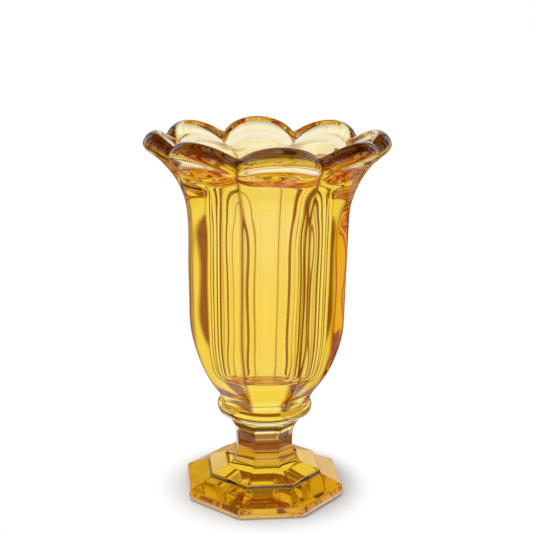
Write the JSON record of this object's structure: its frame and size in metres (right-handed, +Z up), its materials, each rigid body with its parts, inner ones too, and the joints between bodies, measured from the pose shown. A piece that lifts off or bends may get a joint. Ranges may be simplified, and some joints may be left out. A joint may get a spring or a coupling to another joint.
{
  "type": "footed tulip vase",
  "caption": "Footed vase in amber pressed glass: a panelled bowl with a wide rim of rounded petals, on a short neck and a thick octagonal foot.",
  "frame": {"origin": "on the vase's axis, in the plane that the foot stands on", "axes": "+Z up along the vase's axis; -Y through the middle of one panel and its petal"},
  "size_m": [0.1424, 0.1424, 0.22],
  "materials": {
    "bowl_glass": "fire-polished clear amber",
    "wafer_glass": "fire-polished clear amber",
    "foot_glass": "fire-polished clear amber"
  },
  "bodies": {
    "root": {"tulip_bowl": "bowl_glass", "joining_wafer": "wafer_glass", "pedestal_foot": "foot_glass"}
  },
  "joints": []
}
